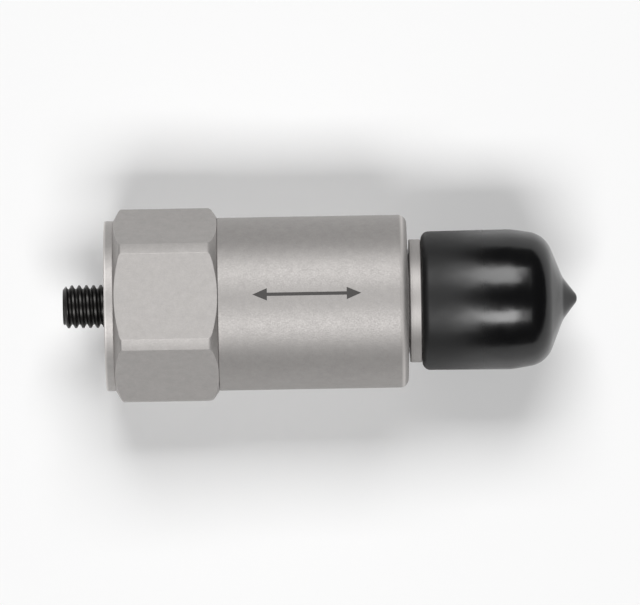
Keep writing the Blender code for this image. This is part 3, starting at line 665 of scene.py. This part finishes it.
# The finish of each node that keeps its shape
NODE_FINISHES = {
    "isolation_disc": "fired_alumina",
    "element_base": "ground_stainless_steel",
    "piezo_ring_lower": "poled_piezo_ceramic",
    "piezo_ring_upper": "poled_piezo_ceramic",
    "electrode_washer": "half_hard_brass",
    "seismic_mass": "sintered_tungsten_alloy",
    "bolt_sleeve": "natural_nylon",
    "preload_bolt": "zinc_plated_screw_steel",
    "faraday_shield": "tinned_steel_sheet",
    "board_carrier": "natural_nylon",
    "circuit_board": "green_solder_mask",
    "amplifier_chip": "moulded_epoxy",
    "current_transistor": "moulded_epoxy",
    "filter_capacitor": "tantalum_epoxy",
    "input_capacitor": "barium_titanate_ceramic",
    "sense_resistor": "moulded_epoxy",
    "gain_trimmer": "blue_polyester",
    "signal_lead": "white_wire_sleeve",
    "output_lead_a": "red_wire_sleeve",
    "output_lead_b": "white_wire_sleeve",
}


class SENSOR_OT_hex_base(bpy.types.Operator):
    """Make the base: seating face, hexagon with turned corners, spigot and stud hole"""

    bl_idname = "sensor.hex_base"
    bl_label = "Hexagon base"

    def execute(self, context):
        face = SEAT_FACE
        end = face + HEX_END
        base = turned("base_body", [
            (face + STUD_HOLE_DEPTH + DRILL_POINT, 0.0),
            (face + STUD_HOLE_DEPTH, STUD_HOLE),
            (face + COUNTERSINK, STUD_HOLE),
            (face, STUD_HOLE + COUNTERSINK),
            (face, SEAT_RADIUS, EDGE_BREAK),
            (face + SEAT_THICKNESS, SEAT_RADIUS),
            (face + SEAT_THICKNESS, FRONT_CHAMFER_FOOT),
            (face + SEAT_THICKNESS + FRONT_CHAMFER_RUN, HEX_CORNER_RADIUS, FRONT_CHAMFER_ROUND),
            (end - BACK_CHAMFER_RUN, HEX_CORNER_RADIUS, BACK_CHAMFER_ROUND),
            (end, HOUSING_RADIUS),
            (end, SPIGOT_RADIUS),
            (BASE_HIGH.x, SPIGOT_RADIUS),
            (BASE_HIGH.x, 0.0),
        ])
        bar = hexagon_bar("bar", HEX_FLATS, face - THROUGH, BASE_HIGH.x + THROUGH)
        combine(base, bar, "INTERSECT")
        colours = context.scene.sensor_colours
        # The band painted lighter at the seat face is a painted highlight on the seat's edge
        material = blasted_stainless("bead_blasted_bar_steel", colours.base, face)
        finish_piece(base, material, "sensor", "housing_steel", "hex_base")
        seat = turned_stainless("faced_seat_steel", colours.turned, "RINGS", SEAT_FEED)
        base.data.materials.append(seat)
        for side in base.data.polygons:
            side.material_index = int(side.center.x < face + SEAT_SKIN)
        return {"FINISHED"}


class SENSOR_OT_stud(bpy.types.Operator):
    """Make the threaded mounting stud with a hexagon socket in its outer end"""

    bl_idname = "sensor.stud"
    bl_label = "Mounting stud"

    def execute(self, context):
        radius = (STUD_HIGH.y - STUD_LOW.y) / 2
        start, end = STUD_LOW.x, STUD_HIGH.x
        stud = threaded_bar("stud", radius - CREST_GAP, STUD_PITCH, STUD_CREST, start, end)
        blank = turned("blank", [
            (start, 0.0),
            (start, radius - STUD_CHAMFER),
            (start + STUD_CHAMFER, radius),
            (end - STUD_CHAMFER, radius),
            (end, radius - STUD_CHAMFER),
            (end, 0.0),
        ], THREAD_STEPS)
        combine(stud, blank, "INTERSECT")
        floor = start + STUD_SOCKET_DEPTH
        socket = hexagon_bar("socket", STUD_SOCKET_FLATS, start - THROUGH, floor)
        combine(stud, socket, "DIFFERENCE")
        colour = context.scene.sensor_colours.stud
        finish_piece(stud, black_oxide(colour), "sensor", "black_oxide_steel", "mounting_stud")
        return {"FINISHED"}


class SENSOR_OT_housing(bpy.types.Operator):
    """Make the turned housing with its rounded shoulder"""

    bl_idname = "sensor.housing"
    bl_label = "Housing"

    def execute(self, context):
        start, end = HOUSING_START, HOUSING_END
        housing = turned("housing_can", [
            (start, HOUSING_RADIUS, HOUSING_EDGE_ROUND),
            (end - SHOULDER_SLOPE, HOUSING_RADIUS, SHOULDER_ROUND),
            (end, TAIL_HOLE),
            (end - HOUSING_END_WALL, TAIL_HOLE),
            (end - HOUSING_END_WALL, HOUSING_RADIUS - HOUSING_WALL, HOUSING_WALL / 2),
            (start, HOUSING_RADIUS - HOUSING_WALL),
        ])
        colour = context.scene.sensor_colours.housing
        # The band painted lighter near the housing's end is a painted highlight on its shoulder
        material = blasted_stainless("bead_blasted_tube_steel", colour, end - PAINTED_HIGHLIGHT_FROM_END)
        finish_piece(housing, material, "sensor", "housing_steel", "housing_shell")
        return {"FINISHED"}


class SENSOR_OT_marking(bpy.types.Operator):
    """Etch the sensing direction on the housing, as a two-headed arrow"""

    bl_idname = "sensor.marking"
    bl_label = "Etched arrow"

    def execute(self, context):
        sizes = context.scene.sensor_sizes
        tip = sizes.arrow_length / 2
        neck = tip - ARROW_HEAD_LENGTH
        line = sizes.arrow_width / 2
        head = ARROW_HEAD_WIDTH / 2
        quarter = [(neck, line), (neck, head), (tip, 0.0)]
        half = quarter + [(along, -across) for along, across in reversed(quarter[:-1])]
        outline = half + [(-along, -across) for along, across in half]
        points = [Vector((ARROW_CENTRE + along, across, AXIS_HEIGHT)) for along, across in outline]
        arrow = draw("etched_arrow", points, True)
        bpy.ops.mesh.select_all(action="SELECT")
        bpy.ops.mesh.edge_face_add()
        bpy.ops.mesh.extrude_region_move(
            TRANSFORM_OT_translate={"value": (0, 0, HOUSING_RADIUS + THROUGH)},
        )
        close_up()
        for height, operation in ((ETCHING_HIGH, "INTERSECT"), (ETCHING_LOW, "DIFFERENCE")):
            radius = HOUSING_RADIUS + height
            core = turned("core", [
                (ARROW_CENTRE - 2 * tip, 0.0),
                (ARROW_CENTRE - 2 * tip, radius),
                (ARROW_CENTRE + 2 * tip, radius),
                (ARROW_CENTRE + 2 * tip, 0.0),
            ])
            combine(arrow, core, operation)
        colour = context.scene.sensor_colours.etching
        finish_piece(arrow, laser_etching(colour), "sensor", "housing_steel")
        return {"FINISHED"}


class SENSOR_OT_receptacle(bpy.types.Operator):
    """Make the receptacle: neck, threaded barrel, stepped bore and keyway"""

    bl_idname = "sensor.receptacle"
    bl_label = "Receptacle"

    def execute(self, context):
        tail, rim = SHELL_LOW.x, SHELL_HIGH.x
        relief = THREAD_RADIUS - RELIEF_DEPTH
        relief_end = NECK_END + RELIEF_LENGTH
        shell = threaded_bar(
            "receptacle", THREAD_RADIUS - CREST_GAP, SHELL_PITCH, SHELL_CREST, THREAD_START, rim,
        )
        left = turned("left", [
            (tail - THROUGH, 0.0), (tail - THROUGH, HOUSING_RADIUS),
            (NECK_END + RELIEF_LENGTH / 2, HOUSING_RADIUS), (NECK_END + RELIEF_LENGTH / 2, 0.0),
        ], SMALL_STEPS)
        combine(shell, left, "UNION")
        blank = turned("blank", [
            (tail, 0.0),
            (tail, TAIL_RADIUS, EDGE_BREAK),
            (HOUSING_HIGH.x, TAIL_RADIUS),
            (HOUSING_HIGH.x, GROOVE_RADIUS),
            (NECK_START, GROOVE_RADIUS),
            (NECK_START, NECK_RADIUS, EDGE_BREAK),
            (NECK_END, NECK_RADIUS, EDGE_BREAK),
            (NECK_END, relief),
            (relief_end, relief),
            (relief_end + THREAD_RADIUS - relief, THREAD_RADIUS),
            (rim - RIM_CHAMFER, THREAD_RADIUS),
            (rim, THREAD_RADIUS - RIM_CHAMFER),
            (rim, 0.0),
        ])
        combine(shell, blank, "INTERSECT")
        bore = turned("bore", [
            (tail - THROUGH, 0.0),
            (tail - THROUGH, REAR_BORE),
            (SOCKET_FLOOR, REAR_BORE),
            (SOCKET_FLOOR, SOCKET_RADIUS),
            (rim - EDGE_BREAK, SOCKET_RADIUS),
            (rim + THROUGH, SOCKET_RADIUS + EDGE_BREAK + THROUGH),
            (rim + THROUGH, 0.0),
        ])
        combine(shell, bore, "DIFFERENCE")
        top = SOCKET_RADIUS + KEYWAY_DEPTH
        bpy.ops.object.select_all(action="DESELECT")
        bpy.ops.mesh.primitive_cube_add(
            size=1.0, location=(rim - (KEYWAY_LENGTH - THROUGH) / 2, 0, AXIS_HEIGHT + top / 2),
            scale=(KEYWAY_LENGTH + THROUGH, KEYWAY_WIDTH, top),
        )
        key = context.object
        settle(key)
        combine(shell, key, "DIFFERENCE")
        colour = context.scene.sensor_colours.turned
        material = turned_stainless("fine_turned_steel", colour, "BANDS", RECEPTACLE_FEED)
        finish_piece(shell, material, "sensor", "connector_steel", "connector_shell")
        return {"FINISHED"}


class SENSOR_OT_contacts(bpy.types.Operator):
    """Make the insulating insert and the two contact pins"""

    bl_idname = "sensor.contacts"
    bl_label = "Contacts"

    def execute(self, context):
        insert = turned("insert", [
            (INSERT_LOW.x, 0.0),
            (INSERT_LOW.x, INSERT_RADIUS, EDGE_BREAK),
            (INSERT_HIGH.x, INSERT_RADIUS, EDGE_BREAK),
            (INSERT_HIGH.x, 0.0),
        ])
        gold = grained("gold_plated_contact_brass", *GOLD_FINISH)
        for letter in ("a", "b"):
            low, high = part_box("contact_pin_" + letter)
            side = (low.y + high.y) / 2
            pin = turned("pin_" + letter, [
                (low.x + CUP_DEPTH, 0.0),
                (low.x + CUP_DEPTH, CUP_BORE),
                (low.x, CUP_BORE),
                (low.x, CUP_RADIUS),
                (low.x + CUP_LENGTH, CUP_RADIUS, EDGE_BREAK),
                (low.x + CUP_LENGTH, PIN_RADIUS),
                (high.x, PIN_RADIUS, PIN_TIP_ROUND),
                (high.x, 0.0),
            ], SMALL_STEPS, side)
            hole = turned("hole", [
                (INSERT_LOW.x - THROUGH, 0.0),
                (INSERT_LOW.x - THROUGH, PIN_RADIUS + PIN_CLEARANCE),
                (INSERT_HIGH.x + THROUGH, PIN_RADIUS + PIN_CLEARANCE),
                (INSERT_HIGH.x + THROUGH, 0.0),
            ], SMALL_STEPS, side)
            combine(insert, hole, "DIFFERENCE")
            finish_piece(pin, gold, "sensor", "contact_metal", "contact_pin_" + letter)
        resin = grained("connector_insulator_resin", *RESIN_FINISH)
        finish_piece(insert, resin, "sensor", "insulator", "connector_insert")
        return {"FINISHED"}


class SENSOR_OT_cap(bpy.types.Operator):
    """Make the dip-moulded cap with its sloping dome and drip nipple"""

    bl_idname = "sensor.cap"
    bl_label = "Vinyl cap"

    def execute(self, context):
        start = CAP_START
        tip = CAP_HIGH.x
        dome_radius = CAP_RADIUS + CAP_WIDENING
        nipple_at = tip - NIPPLE_LENGTH
        dome_at = nipple_at - CAP_DOME_SLOPE * (dome_radius - NIPPLE_RADIUS)
        ease = dome_at - CAP_EASE
        bend = ease + CAP_EASE / (1 - CAP_DOME_SLOPE * CAP_EASE_SLOPE)
        roof_at = dome_at - CAP_WALL * math.hypot(1.0, CAP_DOME_SLOPE)
        roof_corner = roof_at + CAP_DOME_SLOPE * (dome_radius - CAP_BORE)
        cap = turned("vinyl_cap", [
            (roof_at + CAP_DOME_SLOPE * dome_radius, 0.0),
            (roof_corner, CAP_BORE, CAP_INNER_ROUND),
            (start, CAP_BORE, CAP_WALL - CAP_MOUTH_ROUND),
            (start, CAP_RADIUS, CAP_MOUTH_ROUND),
            (ease, dome_radius, CAP_EASE_ROUND),
            (bend, dome_radius - CAP_EASE_SLOPE * (bend - ease), CAP_SHOULDER_ROUND),
            (nipple_at, NIPPLE_RADIUS, NIPPLE_BLEND),
            (tip, NIPPLE_TIP_FLAT, NIPPLE_TIP_ROUND),
            (tip, 0.0),
        ])
        colour = context.scene.sensor_colours.vinyl
        finish_piece(cap, dipped_vinyl(colour), "cap", "vinyl_cap", "protective_cap")
        return {"FINISHED"}


class SENSOR_OT_inner_finishes(bpy.types.Operator):
    """Give every node that keeps its shape the finish of the real piece"""

    bl_idname = "sensor.inner_finishes"
    bl_label = "Inner finishes"

    def execute(self, context):
        made = {name: grained(name, *values) for name, values in INNER_FINISHES.items()}
        for node, finish in NODE_FINISHES.items():
            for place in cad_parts[node].material_slots:
                place.material = made[finish]
        return {"FINISHED"}


class SENSOR_OT_stage(bpy.types.Operator):
    """Make the pale floor, the two strip lights and the camera above the sensor"""

    bl_idname = "sensor.stage"
    bl_label = "Studio"

    def execute(self, context):
        self.make_floor(context)
        self.make_lights(context)
        self.make_camera(context)
        return {"FINISHED"}

    def make_floor(self, context):
        """A round pale floor whose rim slopes down a little."""
        bpy.ops.object.select_all(action="DESELECT")
        bpy.ops.mesh.primitive_circle_add(
            vertices=FLOOR_STEPS, radius=FLOOR_RADIUS, fill_type="NGON",
            location=(0, 0, -FLOOR_DROP),
        )
        floor = context.object
        floor.name = "studio_floor"
        bpy.ops.object.mode_set(mode="EDIT")
        bpy.ops.mesh.select_all(action="SELECT")
        bpy.ops.mesh.inset(thickness=2 * FLOOR_DROP, depth=FLOOR_DROP)
        bpy.ops.object.mode_set(mode="OBJECT")
        settle(floor)
        colour = context.scene.sensor_colours.floor
        material, *_ = new_material("matt_studio_board", colour, FLOOR_ROUGHNESS)
        floor.data.materials.append(material)

    def make_lights(self, context):
        """Two long strip lights over the sensor, one on each side of the camera, and a dim room."""
        sizes = context.scene.sensor_sizes
        for name, lean, width, radiance in STRIPS:
            data = bpy.data.lights.new(name, "AREA")
            data.shape = "RECTANGLE"
            data.size = LAMP_LENGTH
            data.size_y = width
            data.energy = sizes.lamp_level * radiance * math.pi * LAMP_LENGTH * width
            lamp = bpy.data.objects.new(name, data)
            context.collection.objects.link(lamp)
            lamp.location = Vector((0, math.sin(lean), math.cos(lean))) * sizes.lamp_distance
            lamp.rotation_euler = (-lean, 0, 0)
        world = bpy.data.worlds.new("studio_room")
        context.scene.world = world
        world.use_nodes = True
        room = world.node_tree.nodes["Background"]
        room.inputs["Color"].default_value = (1.0, 1.0, 1.0, 1.0)
        room.inputs["Strength"].default_value = ROOM_STRENGTH

    def make_camera(self, context):
        """The photograph's view: from above, a little from the near side, through a long lens."""
        sizes = context.scene.sensor_sizes
        data = bpy.data.cameras.new("camera")
        data.lens = sizes.lens
        window = PICTURE_WIDTH / PIXELS_PER_MM / ENLARGEMENT * MM
        distance = sizes.lens / data.sensor_width * window
        elevation, roll = sizes.camera_elevation, sizes.camera_roll
        back = Vector((0, -math.cos(elevation), math.sin(elevation)))
        level_up = Vector((0, math.sin(elevation), math.cos(elevation)))
        level_right = Vector((1, 0, 0))
        right = level_right * math.cos(roll) - level_up * math.sin(roll)
        up = level_right * math.sin(roll) + level_up * math.cos(roll)
        camera = bpy.data.objects.new("camera", data)
        context.collection.objects.link(camera)
        turn = Matrix((right, up, back)).transposed().to_4x4()
        stand = Vector((0, 0, AXIS_HEIGHT)) + back * distance
        camera.matrix_world = Matrix.Translation(stand) @ turn
        data.clip_start = distance / CLIP_RATIO
        data.clip_end = distance * CLIP_RATIO
        context.scene.camera = camera
        context.scene.view_settings.view_transform = "Standard"


OPERATORS = (
    SENSOR_OT_hex_base,
    SENSOR_OT_stud,
    SENSOR_OT_housing,
    SENSOR_OT_marking,
    SENSOR_OT_receptacle,
    SENSOR_OT_contacts,
    SENSOR_OT_cap,
    SENSOR_OT_inner_finishes,
    SENSOR_OT_stage,
)


class SENSOR_PT_looks(bpy.types.Panel):
    """Sizes, colours and pieces of the vibration sensor"""

    bl_label = "Vibration sensor"
    bl_idname = "SENSOR_PT_looks"
    bl_space_type = "VIEW_3D"
    bl_region_type = "UI"
    bl_category = "Sensor"

    def draw(self, context):
        for group in (context.scene.sensor_sizes, context.scene.sensor_colours):
            box = self.layout.box()
            for name in group.__annotations__:
                box.prop(group, name)
        for operator in OPERATORS:
            self.layout.operator(operator.bl_idname)


CLASSES = (SensorColours, SensorSizes, *OPERATORS, SENSOR_PT_looks)


def register():
    """Register the classes and put their settings on the scene."""
    for cls in CLASSES:
        bpy.utils.register_class(cls)
    bpy.types.Scene.sensor_colours = PointerProperty(type=SensorColours)
    bpy.types.Scene.sensor_sizes = PointerProperty(type=SensorSizes)


def unregister():
    """Take the settings and the classes away again."""
    del bpy.types.Scene.sensor_sizes
    del bpy.types.Scene.sensor_colours
    for cls in reversed(CLASSES):
        bpy.utils.unregister_class(cls)


def main():
    """Make every piece and the studio."""
    register()
    bpy.ops.sensor.hex_base()
    bpy.ops.sensor.stud()
    bpy.ops.sensor.housing()
    bpy.ops.sensor.marking()
    bpy.ops.sensor.receptacle()
    bpy.ops.sensor.contacts()
    bpy.ops.sensor.cap()
    bpy.ops.sensor.inner_finishes()
    bpy.ops.sensor.stage()


if __name__ == "__main__":
    main()
